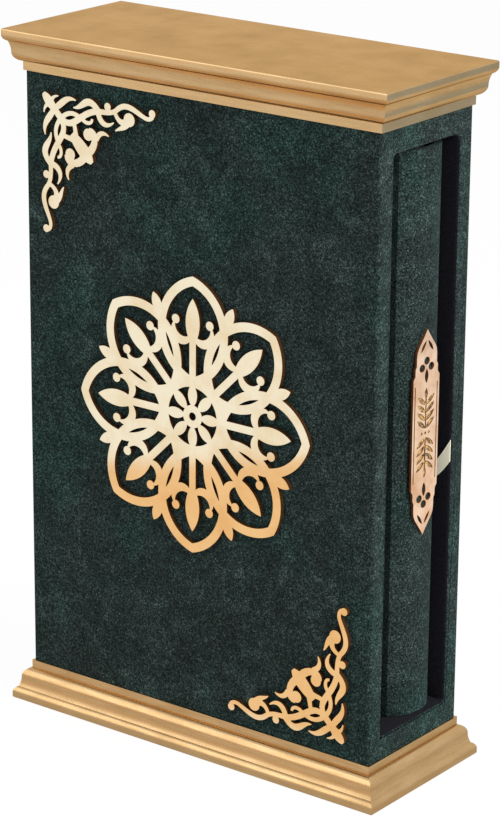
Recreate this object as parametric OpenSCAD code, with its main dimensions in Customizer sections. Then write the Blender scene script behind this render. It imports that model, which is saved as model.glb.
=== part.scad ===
/* [Book] */
// Width of the book from its fore-edge to the crown of its spine
book_w = 171; // [140:1:220]
// Height of the book's cover
book_h = 246; // [200:1:320]
// Thickness of the closed book
book_t = 29; // [26:0.5:60]
// Rise of the rounded spine above its two shoulders
spine_rise = 6.9; // [4:0.1:10]
// Thickness of the two cover boards
cover_board_t = 2.5; // [1.5:0.1:4]
// Thickness of the velvet on the book
cover_cloth_t = 0.6; // [0.3:0.1:1]
// Thickness of the card strip inside the spine
spine_strip_t = 1.2; // [0.6:0.1:2]
// Hollow between the card strip and the backs of the pages
spine_hollow = 1.2; // [0.6:0.1:2]
// Thickness of the cloth glued over the backs of the pages
spine_lining_t = 0.6; // [0.3:0.1:1]
// Thickness of one endpaper
endpaper_t = 0.4; // [0.2:0.1:0.8]
// Overhang of the covers past the pages at head, tail and fore-edge
cover_square = 3.2; // [2:0.1:6]
// Radius of the hinge groove along each side of the spine
groove_r = 3; // [2:0.1:4]
// Depth of the hinge grooves
groove_depth = 1.3; // [0.6:0.1:1.8]
// Distance of a hinge groove's middle from the shoulder of the spine
groove_back = 6; // [4:0.5:10]
// Radius of the half-round head and tail bands
band_r = 1.2; // [0.8:0.1:1.6]

/* [Case] */
// Thickness of the front, back and end boards
board_t = 8; // [6:0.5:14]
// Thickness of the top board, seen as the head of the mouth
head_t = 10; // [8:0.5:16]
// Thickness of the floor board, seen as the sill of the mouth
floor_t = 10; // [8:0.5:16]
// Thickness of the velvet on the case
cloth_t = 0.6; // [0.3:0.1:1]
// Thickness of the lining inside the case
lining_t = 0.6; // [0.3:0.1:1]
// Depth of the velvet turned in round the mouth
turn_in = 3; // [2:0.5:25]
// Radius of the case's upright edges
edge_r = 1.5; // [1:0.1:2]
// Radius of the velvet in the mouth's upper corners
mouth_r = 3; // [1:0.5:4]
// Radius of the velvet in the mouth's lower corners
mouth_foot_r = 1; // [0.5:0.1:1.2]

/* [Fit of the book in the case] */
// Free gap between the book and the front wall
front_gap = 16.6; // [4.6:0.1:24]
// Gap between the book and the back wall, where the ribbon lies
back_gap = 1; // [0.8:0.1:3]
// Running gap under the book
slide_gap = 0.3; // [0.2:0.1:1]
// Free gap above the book
head_gap = 2.5; // [1:0.1:6]
// Gap between the fore-edge and the closed end
end_gap = 1.6; // [1.2:0.1:8]
// Depth of the crown of the spine behind the mouth
spine_recess = 2.2; // [0:0.1:10]

/* [Cornice and base moulding] */
// Height of the cornice and of the base
mould_h = 18; // [16:0.5:24]
// Reach of the moulding beyond the case
mould_out = 7.1; // [6.4:0.1:10]
// Height of the round-nosed slab
slab_h = 5.6; // [4.6:0.1:7]
// Radius of the slab's round nose
nose_r = 3; // [2:0.1:3.4]
// Radius on the slab's outer edge
arris_r = 0.8; // [0.4:0.1:1.1]
// Radius of the convex quarter round
ovolo_r = 4.1; // [3:0.1:5]
// Radius of the hollow below the quarter round
cove_r = 11.4; // [9:0.1:16]
// Height of the narrow strip next to the velvet
fillet_h = 3.75; // [2:0.05:5]
// Reach of the narrow strip beyond the velvet
fillet_out = 0.6; // [0.2:0.1:1.5]

/* [Gold ornament] */
// Thickness of the cut ornament plates
plate_t = 2; // [1:0.1:4]
// Length of a corner ornament along each arm
corner_len = 60.5; // [40:0.5:75]
// Distance of a corner ornament from the upright edge
corner_side_gap = 11.4; // [6:0.1:20]
// Distance of a corner ornament from the moulding
corner_end_gap = 7.6; // [5:0.1:20]
// Width of the round medallion across its points
medallion_d = 122; // [80:1:140]
// Radius left in the inner corners by the cutting beam
cut_r = 0.25; // [0.1:0.05:0.5]

/* [Spine plaque] */
// Width of the plaque across the spine
plaque_w = 16; // [12:0.1:20]
// Length of the plaque between its points
plaque_len = 89.5; // [76:0.5:120]
// Thickness of the plaque
plaque_t = 1; // [0.6:0.1:2.4]
// Angle round the spine from its crown to the plaque's middle
plaque_turn = -7; // [-8:0.5:8]
// Height of the plaque's middle above the middle of the book
plaque_rise = 2.5; // [-20:0.5:20]

/* [Pull ribbon] */
// Width of the ribbon
ribbon_w = 5; // [4:0.5:12]
// Thickness of the ribbon
ribbon_t = 0.4; // [0.2:0.1:0.5]
// Height of the ribbon's middle above the floor of the case
ribbon_rise = 96.5; // [60:0.5:140]
// Height that the free tab climbs towards the mouth
tab_climb = 18.5; // [10:0.5:40]
// Length of the slanting tab along the wall
tab_run = 30; // [24:1:60]
// Setback of the cut end from the mouth
tab_setback = 0.4; // [0.2:0.1:4]

/* [Screws and dowels] */
// Diameter of the base screws
screw_d = 3.5; // [3:0.1:5]
// Diameter of the countersunk heads
screw_head_d = 7; // [6:0.1:9]
// Depth of the heads below the underside
head_sink = 0.6; // [0.2:0.1:1.5]
// Solid wood left beyond a screw's or a dowel's end
end_wood = 2; // [1:0.1:4]
// Diameter of the cornice dowels
dowel_d = 6; // [4:0.5:8]
// Glue and clearance gap round screws and dowels
fix_gap = 0.1; // [0.05:0.01:0.2]
// Distance of the fixings from the ends of the case
fix_inset_x = 25; // [18:1:40]
// Distance of the fixings from the inner faces of the walls
fix_inset_y = 10; // [6:0.5:16]

/* [Hidden] */
$fn = 160;
eps = 0.01;

// Case sizes, worked out from the book and the gaps around it
skin_t = max(cloth_t, lining_t);
room_d = front_gap + book_t + back_gap;
core_in_d = room_d + 2 * skin_t;
body_d = core_in_d + 2 * board_t + 2 * cloth_t;
body_w = spine_recess + book_w + end_gap + lining_t + board_t + cloth_t;
body_h = floor_t + skin_t + slide_gap + book_h + head_gap + skin_t + head_t;
body_z = mould_h;
body_top = body_z + body_h;
mouth_x = body_w / 2;
front_y = -body_d / 2;
core_x0 = -body_w / 2 + cloth_t;
core_x1 = mouth_x - cloth_t;
end_x = core_x0 + board_t;
floor_z = body_z + floor_t;
ceiling_z = body_top - head_t;
room_h = ceiling_z - floor_z;
lining_x1 = core_x1 - turn_in;

// Book position and the arcs of its spine
crown_x = mouth_x - spine_recess;
fore_x = crown_x - book_w;
book_y = room_d / 2 - back_gap - book_t / 2;
book_z = floor_z + skin_t + slide_gap;
spine_r = (book_t * book_t / 4 + spine_rise * spine_rise) / (2 * spine_rise);
arc_x = crown_x - spine_r;
shoulder_x = crown_x - spine_rise;
groove_x = shoulder_x - groove_back;
hinge_x = groove_x - groove_r;
cover_t = cover_cloth_t + cover_board_t;
pages_t = book_t - 2 * cover_t - 2 * endpaper_t;
strip_r = spine_r - cover_cloth_t;
pages_r = strip_r - spine_strip_t - spine_hollow - spine_lining_t;
pages_z = book_z + cover_square;
pages_h = book_h - 2 * cover_square;
pages_edge = sqrt(pages_r * pages_r - pages_t * pages_t / 4);
pages_w = arc_x + pages_edge - fore_x - cover_square;
band_angle = asin((pages_t / 2 - band_r) / pages_r);

// Fixing positions
fix_x = body_w / 2 - fix_inset_x;
fix_y = core_in_d / 2 - fix_inset_y;
dowel_half = head_t - end_wood;
screw_len = mould_h - head_sink + floor_t - end_wood;
head_cone = (screw_head_d - screw_d) / 2;

// Ornament drawing: sizes at which the strokes below were drawn
corner_drawn = 60.5;
medallion_drawn = 122;
sectors = 8;
plaque_drawn = [16, 89.5];
plaque_bed = 0.15;
// One quarter of the plaque's edge, across the spine and along it: a point, two shoulders and the side
plaque_edge = [
    [0, 44.75], [0.9, 43.2], [2.8, 40.5], [5, 37.4], [5.9, 35.6], [6.2, 33.4], [6.2, 29.8], [6.9, 28.4],
    [6.9, 25.6], [8, 24]
];
plaque_edge_n = 10;
engrave_t = 0.4;
fore_flat = 0.5;
glue_t = 0.05;
stroke_steps = 10;
beam_fn = 8;
ball_fn = 24;

// Strokes of half a corner ornament, each with four curve points measured from the corner along the
// arm and away from it, and its width at the start, middle and end
corner_strokes = [
    [[3.8, 3.4], [5.2, 3.2], [4.9, 0.9], [8.6, 0.5], [2, 1.7, 0.5]],
    [[6.6, 5.8], [10.2, 4.6], [12.4, -0.6], [18.2, 1.1], [2.2, 2.8, 0.5]],
    [[10.4, 9.6], [12, 8], [15.6, 5.4], [20.6, 8.2], [2.2, 2, 2]],
    [[12, 11], [17.5, 13.2], [21.5, 5], [30.6, 4], [2.6, 2.8, 2.6]],
    [[16.8, 4.4], [22.6, 4.2], [23.6, -3], [30.6, 3.6], [0.5, 3, 2.2]],
    [[21.8, 8.6], [23.4, 10.5], [27.2, 10.2], [27, 7.8], [1.8, 1.6, 1.2]],
    [[30.2, 4.6], [31.4, 8.6], [34.4, 11], [38.8, 7.6], [2.4, 2.4, 0.5]],
    [[35.4, 1.6], [35.4, 2.4], [35.4, 3.2], [35.4, 4.2], [1.8, 1.5, 2]],
    [[30.2, 4.2], [33.5, 3.6], [37.5, 4.8], [41.2, 1.4], [2.6, 2.1, 2.2]],
    [[40.6, 1.8], [45.4, -2.2], [49.4, 0.8], [54.6, 2.9], [2.2, 2.4, 1.9]],
    [[54.6, 2.9], [57.6, 4.4], [60.4, 2.8], [59.3, 0.8], [1.9, 1.8, 1.8]],
    [[39.4, 3.2], [40.4, 5.6], [42.2, 7.8], [45.4, 6.6], [1.8, 2.2, 3.2]],
    [[46, 7.4], [44, 9.4], [42, 9.4], [39.6, 11], [2.6, 2, 0.5]],
    [[17, 11.4], [17.9, 13], [17.6, 15], [18.6, 18.4], [2.2, 2.2, 3.2]],
    [[22.4, 23.4], [28.6, 22.6], [30.6, 12.8], [25.4, 12.8], [4, 3.2, 2.2]],
    [[29.2, 16.4], [30.4, 13.2], [33, 12.2], [36, 13.9], [2.4, 2.1, 0.5]]
];
// Round heads of the scrolls of half a corner ornament, each with its middle and radius
corner_balls = [[[59.2, 1], 1.7], [[35.4, 1.4], 1.7], [[47, 5.3], 2.9], [[24.8, 14.8], 2.6]];
// Strokes that lie on the corner ornament's diagonal
corner_spine = [
    [[0.3, 0.3], [1.5, 1.5], [4, 4], [6.4, 6.4], [1.6, 4.4, 3]],
    [[6, 6], [8, 8], [10, 10], [12.6, 12.6], [3, 3.2, 3]],
    [[15.8, 15.8], [18, 18], [21, 21], [24, 24], [3, 5.8, 6]],
    [[22, 22], [24, 24], [25.4, 25.4], [26.8, 26.8], [6, 5.2, 1.8]]
];

// Sizes of the medallion as drawn: hub, interlaced petals and the leaves inside and between them
hub_r = 14.6;
hub_w = 3.4;
boss_r = 5;
boss_eye_r = 1.8;
petal_at = 13.2;
petal_w = 37;
band_w = 4;
stem_w = 3.4;
palmette_at = 38;
leaf_r = 5.7;

// Point and direction on a curve of four points
function curve(p, t) =
    pow(1 - t, 3) * p[0] + 3 * t * pow(1 - t, 2) * p[1] + 3 * t * t * (1 - t) * p[2] + pow(t, 3) * p[3];
function slope(p, t) =
    let (d = pow(1 - t, 2) * (p[1] - p[0]) + 2 * t * (1 - t) * (p[2] - p[1]) + t * t * (p[3] - p[2]))
    d / norm(d);
// Half the width of a stroke that is w[0] wide at its start, w[1] at its middle and w[2] at its end
function half_width(w, t) =
    ((1 - t) * (1 - 2 * t) * w[0] + 4 * t * (1 - t) * w[1] + t * (2 * t - 1) * w[2]) / 2;
function stroke_edge(s, t, side) =
    let (d = slope(s, t)) curve(s, t) + side * half_width(s[4], t) * [-d[1], d[0]];

module stroke(s) {
    steps = [for (i = [0 : stroke_steps]) i / stroke_steps];
    polygon(concat(
        [for (t = steps) stroke_edge(s, t, 1)],
        [for (i = [stroke_steps : -1 : 0]) stroke_edge(s, steps[i], -1)]));
}

module strokes(list) {
    for (s = list) stroke(s);
}

module balls(list) {
    for (b = list) translate(b[0]) circle(r = b[1], $fn = ball_fn);
}

// Half a corner ornament, its mirror image and the strokes between them, hanging from the origin
module corner_outline() {
    scale(corner_len / corner_drawn) mirror([0, 1]) {
        strokes(corner_strokes);
        balls(corner_balls);
        mirror([1, -1]) {
            strokes(corner_strokes);
            balls(corner_balls);
        }
        strokes(corner_spine);
    }
}

// A pointed leaf standing on the origin, taken in by a given depth all round
module lens(len, w, inset = 0) {
    r = (len * len + w * w) / (4 * w);
    intersection() {
        translate([r - w / 2, len / 2]) circle(r = r - inset);
        translate([w / 2 - r, len / 2]) circle(r = r - inset);
    }
}

module ring(r, w) {
    difference() {
        circle(r = r + w / 2);
        circle(r = r - w / 2);
    }
}

// Copies of a drawing at every sector of the medallion, turned by a share of a sector
module round_sectors(share, at) {
    for (i = [0 : sectors - 1]) rotate((i + share) * 360 / sectors) translate([0, at]) children();
}

// Bud on a stem with a curled leaf and a berry on each side
module palmette() {
    translate([-stem_w / 2, hub_r - palmette_at]) square([stem_w, palmette_at - hub_r - 4]);
    translate([0, -7.6]) lens(21, 7.4);
    for (side = [0, 1]) mirror([side, 0]) {
        translate([leaf_r, -1.6]) difference() {
            circle(r = leaf_r);
            translate([-1.2, 2.8]) circle(r = leaf_r - 0.8);
        }
        translate([9, 3.2]) circle(r = 2);
    }
}

module medallion_outline() {
    petal_len = medallion_drawn / 2 - petal_at;
    scale(medallion_d / medallion_drawn) {
        difference() {
            circle(r = boss_r);
            circle(r = boss_eye_r);
        }
        round_sectors(0, 0.8 * boss_r) lens(hub_r - 0.8 * boss_r, 4.8);
        ring(hub_r, hub_w);
        round_sectors(0, petal_at) difference() {
            lens(petal_len, petal_w);
            lens(petal_len, petal_w, band_w);
        }
        round_sectors(0, palmette_at) palmette();
        round_sectors(0.5, hub_r) lens(8, 5.4);
        round_sectors(0.5, 44) lens(11, 5);
    }
}

// A drawing cut by a beam that leaves round inner corners
module beam_cut() {
    offset(r = -cut_r, $fn = beam_fn) offset(delta = cut_r) children();
}

// A plate drawn as seen from the front, standing on the front face
module on_front() {
    translate([0, front_y, 0]) rotate([90, 0, 0]) linear_extrude(plate_t) children();
}

// A block given by its low and high corners
module block(low, high) {
    translate(low) cube(high - low);
}

// A rectangle with round corners, about its middle
module round_rect(w, h, r) {
    square([w - 2 * r, h], center = true);
    square([w, h - 2 * r], center = true);
    for (x = [-1, 1], y = [-1, 1]) translate([x * (w / 2 - r), y * (h / 2 - r)]) circle(r = r);
}

// The mouth's opening about its middle, with its own corner radii at head and foot
module mouth_shape(w, h) {
    translate([-w / 2, mouth_foot_r - h / 2]) square([w, h - mouth_foot_r - mouth_r]);
    for (corner = [[1, mouth_r], [-1, mouth_foot_r]]) {
        r = corner[1];
        translate([r - w / 2, corner[0] * (h - r) / 2 - r / 2]) square([w - 2 * r, r]);
        for (x = [-1, 1]) translate([x * (w / 2 - r), corner[0] * (h / 2 - r)]) circle(r = r);
    }
}

// A drawing across the case (Y, Z) carried along X
module across(x0, x1) {
    translate([x0, 0, 0]) rotate([90, 0, 90]) linear_extrude(x1 - x0) children();
}

// Positions of the four screws and of the four dowels
module at_fixings(z) {
    for (x = [-1, 1], y = [-1, 1]) translate([x * fix_x, y * fix_y, z]) children();
}

// Moulding beyond the face of the case, from the slab's flat face up to the velvet
module moulding_edge() {
    nose_z = slab_h - nose_r;
    ovolo_z = mould_h - fillet_h - ovolo_r;
    square([mould_out - arris_r, nose_z]);
    translate([0, arris_r]) square([mould_out, nose_z - arris_r]);
    translate([mould_out - arris_r, arris_r]) circle(r = arris_r);
    translate([mould_out - nose_r, nose_z]) intersection() {
        circle(r = nose_r);
        square(nose_r);
    }
    square([mould_out - nose_r, slab_h]);
    translate([0, nose_z]) difference() {
        square([mould_out, ovolo_z - nose_z]);
        translate([ovolo_r + cove_r, ovolo_z - nose_z]) circle(r = cove_r);
    }
    translate([0, ovolo_z]) intersection() {
        circle(r = ovolo_r);
        square(ovolo_r);
    }
    translate([0, mould_h - fillet_h]) square([fillet_out, fillet_h]);
}

// Section through the whole moulded plate of a given body size
module moulding_section(size) {
    translate([-size / 2, 0]) square([size, mould_h]);
    for (side = [0, 1]) mirror([side, 0]) translate([size / 2, 0]) moulding_edge();
}

// Moulded plate with mitred corners, slab downwards
module moulded_plate() {
    span_x = body_w + 4 * mould_out;
    span_y = body_d + 4 * mould_out;
    intersection() {
        translate([0, span_y / 2, 0]) rotate([90, 0, 0]) linear_extrude(span_y) moulding_section(body_w);
        translate([-span_x / 2, 0, 0]) rotate([90, 0, 90]) linear_extrude(span_x) moulding_section(body_d);
    }
}

// Plan of the closed book, taken in by a given depth from its sides and spine
module book_plan(inset) {
    half = book_t / 2 - inset;
    intersection() {
        translate([fore_x, -half]) square([book_w, 2 * half]);
        union() {
            translate([arc_x, 0]) circle(r = spine_r - inset);
            translate([fore_x, -half]) square([arc_x - fore_x, 2 * half]);
        }
    }
}

// Hinge grooves pressed into both sides of the book's plan, widened by a given depth
module grooves(grow) {
    for (side = [-1, 1])
        translate([groove_x, side * (book_t / 2 + groove_r - groove_depth)]) circle(r = groove_r + grow);
}

module grooved_plan(inset) {
    difference() {
        book_plan(inset);
        grooves(inset);
    }
}

// A drawing of the book's plan raised from a height above the floor of the case
module raise_plan(z, h) {
    translate([0, book_y, z]) linear_extrude(h) children();
}

// One cover board, at the front (-1) or at the back (1)
module cover_board(side) {
    y = side * (book_t / 2 - cover_cloth_t - cover_board_t / 2);
    raise_plan(book_z + cover_cloth_t, book_h - 2 * cover_cloth_t)
        translate([fore_x + cover_cloth_t, y - cover_board_t / 2])
            square([hinge_x - fore_x - cover_cloth_t, cover_board_t]);
}

// One endpaper, pasted between a cover board and the pages
module endpaper(side) {
    y = side * (book_t / 2 - cover_t - endpaper_t / 2);
    raise_plan(pages_z, pages_h)
        translate([fore_x + cover_square, y - endpaper_t / 2])
            square([hinge_x - fore_x - cover_square, endpaper_t]);
}

// Part of a ring about the spine's centre line, as far to the sides as the pages reach
module spine_ring(outer, inner, half) {
    intersection() {
        translate([arc_x, 0]) difference() {
            circle(r = outer);
            circle(r = inner);
        }
        translate([arc_x, -half]) square([spine_r, 2 * half]);
    }
}

// Half-round band on the pages' end at the spine, with its flat side on z = 0
module half_round_band() {
    translate([arc_x, book_y, 0]) rotate([0, 0, -band_angle]) rotate_extrude(angle = 2 * band_angle)
        translate([pages_r - band_r, 0]) intersection() {
            circle(r = band_r);
            translate([-band_r, 0]) square([2 * band_r, band_r]);
        }
}

// Plaque outline, across the spine and along it, with stepped shoulders and pointed ends
module plaque_outline(w, len) {
    last = plaque_edge_n - 1;
    scale([w / plaque_drawn[0], len / plaque_drawn[1]]) polygon(concat(
        plaque_edge,
        [for (i = [last : -1 : 0]) [plaque_edge[i][0], -plaque_edge[i][1]]],
        [for (i = [1 : last]) [-plaque_edge[i][0], -plaque_edge[i][1]]],
        [for (i = [last : -1 : 1]) [-plaque_edge[i][0], plaque_edge[i][1]]]));
}

// Openings cut through the plaque: a three-lobed flower and a chevron near each end
module plaque_openings() {
    for (end = [0, 1]) mirror([0, end]) {
        translate([0, 28.4]) {
            for (a = [-90, 0, 90]) rotate(a) translate([0, 2.8]) circle(r = 1.7);
            translate([0, -6.8]) lens(6.2, 2.2);
        }
        for (side = [-1, 1]) translate([side * 0.5, 40]) rotate(-side * 146) lens(6, 1.4);
    }
}

// A sprig on the origin: a stem with pairs of slanting leaves and a bud
module sprig(pairs) {
    pitch = 3.4;
    translate([-0.4, 0]) square([0.8, pairs * pitch]);
    translate([0, pairs * pitch - 1]) lens(5, 1.9);
    for (i = [0 : pairs - 1], side = [-1, 1])
        translate([0, i * pitch]) rotate(-side * 52) lens(6.6, 2);
}

// Shallow engraving between the flowers: two side lines, three dots and a sprig above and below them
module plaque_engraving() {
    for (side = [-1, 1]) translate([side * 6.8, 0]) square([0.5, 42], center = true);
    for (i = [-1 : 1]) translate([2.2 * i, 0]) circle(r = 0.6);
    for (end = [0, 1]) mirror([0, end]) translate([0, 2]) sprig(4);
}

// Ribbon lying on the lining: along the front wall, round the closed end and along the back wall
module ribbon_loop(z, h, x_front, x_back) {
    bend = 3 * ribbon_t;
    x0 = end_x + lining_t;
    half = core_in_d / 2 - skin_t;
    translate([0, 0, z]) linear_extrude(h) {
        for (side = [-1, 1]) {
            x1 = side < 0 ? x_front : x_back;
            translate([x0 + bend, side * (half - ribbon_t / 2) - ribbon_t / 2])
                square([x1 - x0 - bend, ribbon_t]);
            translate([x0 + bend, side * (half - bend)]) intersection() {
                difference() {
                    circle(r = bend);
                    circle(r = bend - ribbon_t);
                }
                translate([-bend, side < 0 ? -bend : 0]) square(bend);
            }
        }
        translate([x0, bend - half]) square([ribbon_t, 2 * (half - bend)]);
    }
}

// Free tab of the ribbon, flat on the back wall and climbing to its cut end at the mouth
module ribbon_tab(z) {
    x1 = mouth_x - tab_setback;
    x0 = x1 - tab_run;
    y1 = core_in_d / 2 - skin_t;
    path = [[x0, z], [x0 + 0.55 * tab_run, z], [x0 + 0.72 * tab_run, z + 0.12 * tab_climb],
        [x1 + ribbon_w / 2, z + tab_climb + ribbon_w / 2], [ribbon_w, ribbon_w, ribbon_w]];
    translate([0, y1, 0]) rotate([90, 0, 0]) linear_extrude(ribbon_t) intersection() {
        stroke(path);
        translate([x0 - tab_run, z - tab_run])
            square([x1 - x0 + tab_run, tab_run + 2 * tab_climb + 2 * ribbon_w]);
    }
}

module case_front_board() {
    color("#a98a66") block([core_x0, -core_in_d / 2 - board_t, body_z], [core_x1, -core_in_d / 2, body_top]);
}

module case_back_board() {
    color("#a98a66") block([core_x0, core_in_d / 2, body_z], [core_x1, core_in_d / 2 + board_t, body_top]);
}

module case_end_board() {
    color("#a98a66") block([core_x0, -core_in_d / 2, body_z], [end_x, core_in_d / 2, body_top]);
}

module case_top_board() {
    color("#a98a66") difference() {
        block([end_x, -core_in_d / 2, ceiling_z], [core_x1, core_in_d / 2, body_top]);
        at_fixings(body_top - dowel_half) cylinder(d = dowel_d + 2 * fix_gap, h = dowel_half + eps);
    }
}

module case_floor_board() {
    color("#a98a66") difference() {
        block([end_x, -core_in_d / 2, body_z], [core_x1, core_in_d / 2, floor_z]);
        at_fixings(body_z - eps) cylinder(d = screw_d + 2 * fix_gap, h = floor_t - end_wood + eps);
    }
}

// Velvet round the case, across the mouth's frame and turned in round its edges
module case_cover_cloth() {
    mid_z = (floor_z + ceiling_z) / 2;
    mouth_d = core_in_d - 2 * cloth_t;
    mouth_h = room_h - 2 * cloth_t;
    color("#22403b") {
        difference() {
            translate([0, 0, body_z]) linear_extrude(body_h) round_rect(body_w, body_d, edge_r);
            block([core_x0, cloth_t - body_d / 2, body_z - 1], [core_x1, body_d / 2 - cloth_t, body_top + 1]);
            translate([0, 0, mid_z]) across(core_x1 - 1, mouth_x + 1) mouth_shape(mouth_d, mouth_h);
        }
        translate([0, 0, mid_z]) across(lining_x1, core_x1) difference() {
            square([core_in_d, room_h], center = true);
            mouth_shape(mouth_d, mouth_h);
        }
    }
}

// Dark lining of the case, a pocket that is open towards the mouth
module case_lining() {
    half = core_in_d / 2;
    color("#1a161d") difference() {
        block([end_x, -half, floor_z], [lining_x1, half, ceiling_z]);
        block([end_x + lining_t, lining_t - half, floor_z + lining_t],
            [lining_x1 + 1, half - lining_t, ceiling_z - lining_t]);
    }
}

module cornice() {
    color("#b8945c") translate([0, 0, body_top]) difference() {
        translate([0, 0, mould_h]) mirror([0, 0, 1]) moulded_plate();
        at_fixings(-eps) cylinder(d = dowel_d + 2 * fix_gap, h = dowel_half + eps);
    }
}

module base() {
    color("#b8945c") difference() {
        moulded_plate();
        at_fixings(-eps) {
            cylinder(d = screw_d + 2 * fix_gap, h = mould_h + 2 * eps);
            cylinder(d = screw_head_d + 2 * fix_gap, h = head_sink + eps);
            translate([0, 0, head_sink])
                cylinder(d1 = screw_head_d + 2 * fix_gap, d2 = screw_d + 2 * fix_gap, h = head_cone);
        }
    }
}

module cornice_dowels() {
    color("#d8bd8a") at_fixings(body_top - dowel_half) cylinder(d = dowel_d, h = 2 * dowel_half);
}

// Countersunk screws with a cross recess, driven up from below
module base_screws() {
    recess_w = 0.2 * screw_head_d;
    recess_len = 0.6 * screw_head_d;
    recess_h = 0.5 * head_cone;
    tip_h = screw_d;
    color("#c9b27a") at_fixings(head_sink) difference() {
        union() {
            cylinder(d1 = screw_head_d, d2 = screw_d, h = head_cone);
            cylinder(d = screw_d, h = screw_len - tip_h);
            translate([0, 0, screw_len - tip_h])
                cylinder(d1 = screw_d, d2 = screw_d / 4, h = tip_h - fix_gap);
        }
        for (a = [0, 90]) rotate(a)
            translate([-recess_len / 2, -recess_w / 2, -eps]) cube([recess_len, recess_w, recess_h]);
    }
}

module corner_ornament_upper() {
    color("#e6c48c") translate([corner_side_gap - body_w / 2, 0, body_top - corner_end_gap])
        on_front() beam_cut() corner_outline();
}

module corner_ornament_lower() {
    color("#e6c48c") translate([body_w / 2 - corner_side_gap, 0, body_z + corner_end_gap])
        on_front() beam_cut() rotate(180) corner_outline();
}

module centre_medallion() {
    color("#e6c48c") translate([0, 0, body_z + body_h / 2]) on_front() medallion_outline();
}

module pull_ribbon() {
    z = floor_z + skin_t + ribbon_rise;
    x_tab = mouth_x - tab_setback - tab_run;
    color("#efe6c8") {
        ribbon_loop(z - ribbon_w / 2, ribbon_w, lining_x1 - 4 * ribbon_w, x_tab);
        ribbon_tab(z);
    }
}

module book_front_board() {
    color("#8d8478") cover_board(-1);
}

module book_back_board() {
    color("#8d8478") cover_board(1);
}

module book_spine_strip() {
    color("#8d8478") raise_plan(book_z + cover_cloth_t, book_h - 2 * cover_cloth_t)
        spine_ring(strip_r, strip_r - spine_strip_t, pages_t / 2);
}

// Velvet round the book: one wrap over covers and spine, folded over their edges
module book_cover_cloth() {
    color("#22403b") {
        raise_plan(book_z, book_h) {
            difference() {
                grooved_plan(0);
                grooved_plan(cover_cloth_t);
            }
            for (side = [-1, 1]) translate([fore_x, side * (book_t - cover_t) / 2 - cover_t / 2])
                square([cover_cloth_t, cover_t]);
        }
        for (z = [book_z, book_z + book_h - cover_cloth_t]) raise_plan(z, cover_cloth_t) difference() {
            grooved_plan(0);
            book_plan(cover_t);
        }
    }
}

// Sewn pages with a round back and a hollow fore-edge, which leaves a narrow flat along each cover
module text_block() {
    color("#efe4c6") raise_plan(pages_z, pages_h) difference() {
        intersection() {
            translate([fore_x, -pages_t / 2]) square([book_w, pages_t]);
            union() {
                translate([arc_x, 0]) circle(r = pages_r);
                translate([fore_x, -pages_t / 2]) square([arc_x - fore_x, pages_t]);
            }
        }
        translate([fore_x - book_w, -pages_t]) square([book_w + cover_square, 2 * pages_t]);
        translate([arc_x - pages_w - fore_flat, 0]) circle(r = pages_r);
    }
}

module front_endpaper() {
    color("#e9dcc0") endpaper(-1);
}

module back_endpaper() {
    color("#e9dcc0") endpaper(1);
}

module spine_lining() {
    color("#d9d2c2") raise_plan(pages_z + cover_square, pages_h - 2 * cover_square)
        spine_ring(pages_r + spine_lining_t, pages_r + glue_t, pages_t / 2 - spine_lining_t);
}

module head_band() {
    color("#d8c27a") translate([0, 0, pages_z + pages_h]) half_round_band();
}

module tail_band() {
    color("#d8c27a") translate([0, 0, pages_z]) mirror([0, 0, 1]) half_round_band();
}

// Flat plaque with an engraved face, bedded on the spine along its middle
module spine_plaque() {
    face_r = spine_r + plaque_t;
    fit = [plaque_w / plaque_drawn[0], plaque_len / plaque_drawn[1]];
    middle_z = book_z + book_h / 2 + plaque_rise;
    color("#d9b48c") translate([arc_x, book_y, middle_z]) rotate(plaque_turn) difference() {
        across(spine_r - plaque_bed, face_r) difference() {
            plaque_outline(plaque_w, plaque_len);
            scale(min(fit)) plaque_openings();
        }
        across(face_r - engrave_t, face_r + 1) scale(min(fit)) plaque_engraving();
        translate([0, 0, -2 * plaque_len]) cylinder(r = spine_r, h = 4 * plaque_len);
    }
}

case_front_board();
case_back_board();
case_end_board();
case_top_board();
case_floor_board();
case_cover_cloth();
case_lining();
cornice();
base();
cornice_dowels();
base_screws();
corner_ornament_upper();
corner_ornament_lower();
centre_medallion();
pull_ribbon();
book_front_board();
book_back_board();
book_spine_strip();
book_cover_cloth();
text_block();
front_endpaper();
back_endpaper();
spine_lining();
head_band();
tail_band();
spine_plaque();
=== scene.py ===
"""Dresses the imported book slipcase: velvet, gilt mouldings, mirror ornaments, the book and its pull ribbon."""

import logging
import math
from dataclasses import dataclass
from enum import Enum
from typing import Callable, Protocol

import bmesh
import bpy
from mathutils import Matrix, Vector


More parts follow.
